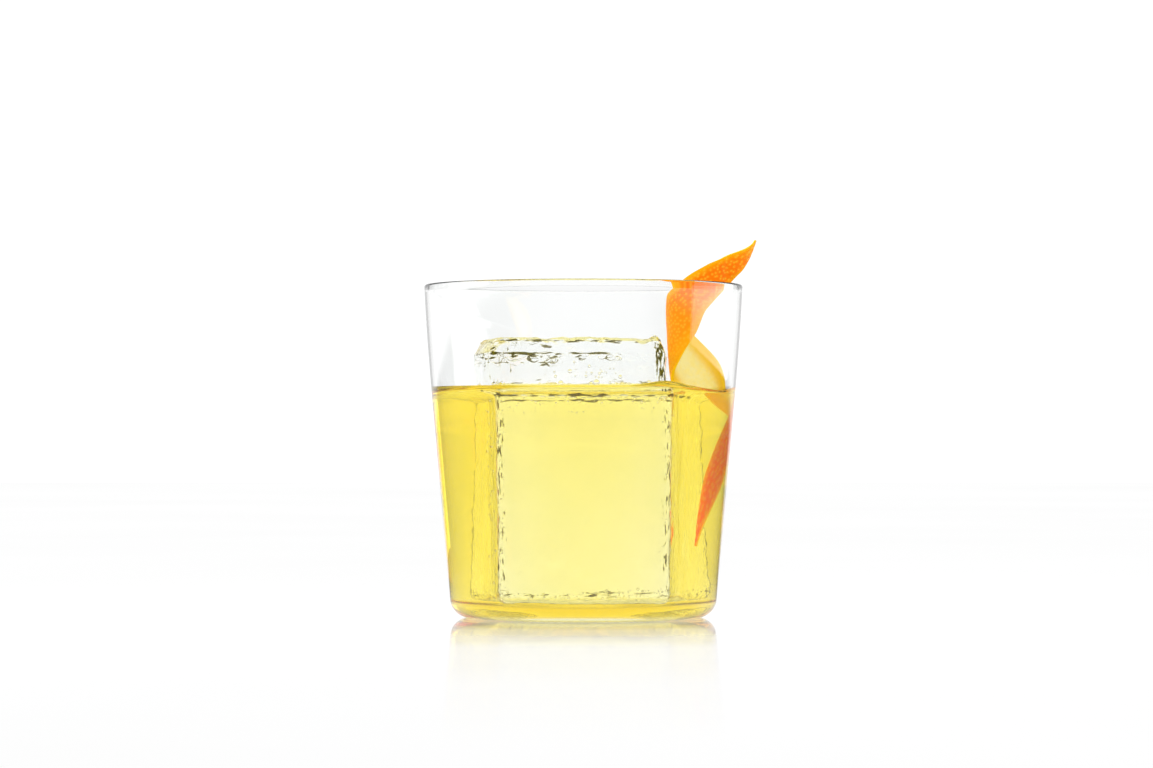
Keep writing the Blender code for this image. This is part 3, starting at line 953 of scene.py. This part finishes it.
def floor_material():
    """White and half matt, with a polished patch round the glass that fades outwards."""
    material, tree, shader = new_material("pale_floor")
    dark, light = FLOOR_ALBEDO - 0.01, FLOOR_ALBEDO + 0.01
    _, ramp = noise_ramp(tree, 0.4, ((0.3, (dark, dark, dark, 1)), (0.7, (light, light, light, 1))))
    place = add_node(tree, "ShaderNodeTexCoord")
    far = add_node(tree, "ShaderNodeVectorMath", operation="LENGTH")
    tree.links.new(place.outputs["Object"], far.inputs[0])
    slant = add_node(tree, "ShaderNodeLayerWeight")
    slanted = math_node(tree, "POWER", slant.outputs["Facing"], FLOOR_SLANT)
    share = math_node(tree, "MULTIPLY", curve(tree, far.outputs["Value"], FLOOR_POLISH), slanted)
    _, inside, outside, edge, _, gain = light_path(tree)
    path = add_node(tree, "ShaderNodeLightPath")
    inside = math_node(tree, "MULTIPLY", inside, curve(tree, path.outputs["Ray Length"], FLOOR_FAR))
    split = add_node(tree, "ShaderNodeSeparateXYZ")
    tree.links.new(place.outputs["Object"], split.inputs["Vector"])
    look = dimmed(tree, inside, curve(tree, split.outputs["Y"], FLOOR_MIRRORED_INSIDE))
    front = curve(tree, math_node(tree, "DIVIDE", split.outputs["Y"], far.outputs["Value"]), FLOOR_FRONT)
    bare = math_node(tree, "MAXIMUM", front, curve(tree, far.outputs["Value"], FLOOR_MIRRORED_OUTSIDE))
    look = math_node(tree, "MULTIPLY", look, dimmed(tree, math_node(tree, "MAXIMUM", outside, edge), bare))
    look = math_node(tree, "MULTIPLY", look, gain)
    white = add_node(tree, "ShaderNodeVectorMath", operation="SCALE")
    tree.links.new(ramp.outputs["Color"], white.inputs[0])
    tree.links.new(look, white.inputs["Scale"])
    tree.links.new(white.outputs["Vector"], shader.inputs["Base Color"])
    shader.inputs["Roughness"].default_value = 0.9
    shader.inputs["Specular IOR Level"].default_value = 0.0
    shader.inputs["Emission Color"].default_value = (1, 1, 1, 1)
    glow = math_node(tree, "MULTIPLY", look, FLOOR_LOOK - FLOOR_ALBEDO * ROOM_LIGHT)
    tree.links.new(glow, shader.inputs["Emission Strength"])
    mirror = add_node(tree, "ShaderNodeBsdfGlossy")
    mirror.inputs["Roughness"].default_value = 0.04
    mirror.inputs["Color"].default_value = (1, 1, 1, 1)
    mix = add_node(tree, "ShaderNodeMixShader")
    tree.links.new(share, mix.inputs["Fac"])
    tree.links.new(shader.outputs["BSDF"], mix.inputs[1])
    tree.links.new(mirror.outputs["BSDF"], mix.inputs[2])
    tree.links.new(mix.outputs["Shader"], tree.nodes["Material Output"].inputs["Surface"])
    return material


# Surroundings


def floor():
    half = 3.0
    corners = [(-half, -half, 0.0), (half, -half, 0.0), (half, half, 0.0), (-half, half, 0.0)]
    item = mesh_object("floor", corners, [(0, 1, 2, 3)], None, floor_material())


def surroundings():
    """A white room, darker overhead beside a bright ceiling panel. Where it is mirrored, its near side is dim."""
    world = bpy.data.worlds.new("studio")
    world.use_nodes = True
    tree = world.node_tree
    background = tree.nodes["Background"]
    place = add_node(tree, "ShaderNodeTexCoord")
    split = add_node(tree, "ShaderNodeSeparateXYZ")
    tree.links.new(place.outputs["Generated"], split.inputs["Vector"])
    by_height = curve(tree, split.outputs["Z"], ROOM_BY_HEIGHT)
    by_depth = curve(tree, split.outputs["Y"], ROOM_MIRRORED_INSIDE)
    lights, inside, outside, edge, through, gain = light_path(tree)
    seen = math_node(tree, "MULTIPLY", dimmed(tree, through, by_height), dimmed(tree, inside, by_depth))
    for kind, shares in ((outside, ROOM_MIRRORED_OUTSIDE), (edge, ROOM_AT_EDGE)):
        seen = math_node(tree, "MULTIPLY", seen, dimmed(tree, kind, curve(tree, split.outputs["Y"], shares)))
    level = math_node(tree, "MULTIPLY_ADD", through, ROOM_SEEN - ROOM_BACKDROP, ROOM_BACKDROP)
    seen = math_node(tree, "MULTIPLY", math_node(tree, "MULTIPLY", seen, gain), level)
    by_side = curve(tree, split.outputs["X"], ROOM_LIGHT_BY_SIDE)
    lit = math_node(tree, "MULTIPLY", math_node(tree, "MULTIPLY", lights, by_side), ROOM_LIGHT)
    unlit = math_node(tree, "MULTIPLY", math_node(tree, "SUBTRACT", 1.0, lights), seen)
    tree.links.new(math_node(tree, "ADD", lit, unlit), background.inputs["Strength"])
    background.inputs["Color"].default_value = (1, 1, 1, 1)
    bpy.context.scene.world = world


def softbox(name, place, target, size, strength):
    light = bpy.data.lights.new(name, "AREA")
    light.shape = "RECTANGLE"
    light.size, light.size_y = size
    light.energy = strength
    item = bpy.data.objects.new(name, light)
    bpy.context.scene.collection.objects.link(item)
    item.location = place
    item.rotation_euler = (Vector(target) - Vector(place)).to_track_quat("-Z", "Y").to_euler()
    item.visible_camera = False
    return item


def camera():
    data = bpy.data.cameras.new("camera")
    data.sensor_width = SENSOR_MM
    data.lens = CAMERA_FOCAL_PX / PICTURE_WIDTH * SENSOR_MM
    item = bpy.data.objects.new("camera", data)
    bpy.context.scene.collection.objects.link(item)
    item.location = CAMERA_PLACE
    item.rotation_euler = (CAMERA_TILT, 0, 0)
    bpy.context.scene.camera = item


def main():
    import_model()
    noise.seed_set(NOISE_SEED)
    scene = bpy.context.scene
    scene.view_settings.view_transform = "Standard"
    scene.cycles.max_bounces = 32
    scene.cycles.transmission_bounces = 32
    scene.cycles.glossy_bounces = 12
    scene.cycles.blur_glossy = 0.0

    surroundings()
    floor()
    camera()
    softbox("right_strip", (0.288, 0.083, 0.088), (0, 0, 0.088), (0.28, 0.074), 0.085)

    glass(glass_material())
    ice_mesh = make_piece("ice", ice_rows(0.0), "ice_block", ice_material(), 50)
    mark_painted_shade(ice_mesh)
    twist_piece("peel", 0.0, TWIST_OUTER, TWIST_INNER, TWIST_STEPS, (skin_material(), pith_material()), pores())
    drink_mesh = make_piece(
        "drink_body", drink_rows(ice_outline(), twist_outline()), "drink", drink_material()
    )
    balls("melt_drops", melt_drops(), clear_material("melt_water", 1.33, (0.98, 0.99, 1.0), (1, 1, 1), 0.01)[0], 1.0, 0.55)
    cutters = [
        balls("bubble_cutter", air_bubbles(), None),
        balls("ledge_cutter", ledge_air(), None, 2.5),
        make_piece("ice_cutter", ice_rows(-INTO_DRINK), None, None),
        twist_piece("twist_cutter", -INTO_DRINK, 12, 8, 260, None),
    ]
    cut(drink_mesh, cutters)
    for item in (ice_mesh, drink_mesh):
        print(item.name, len(item.data.polygons))


main()
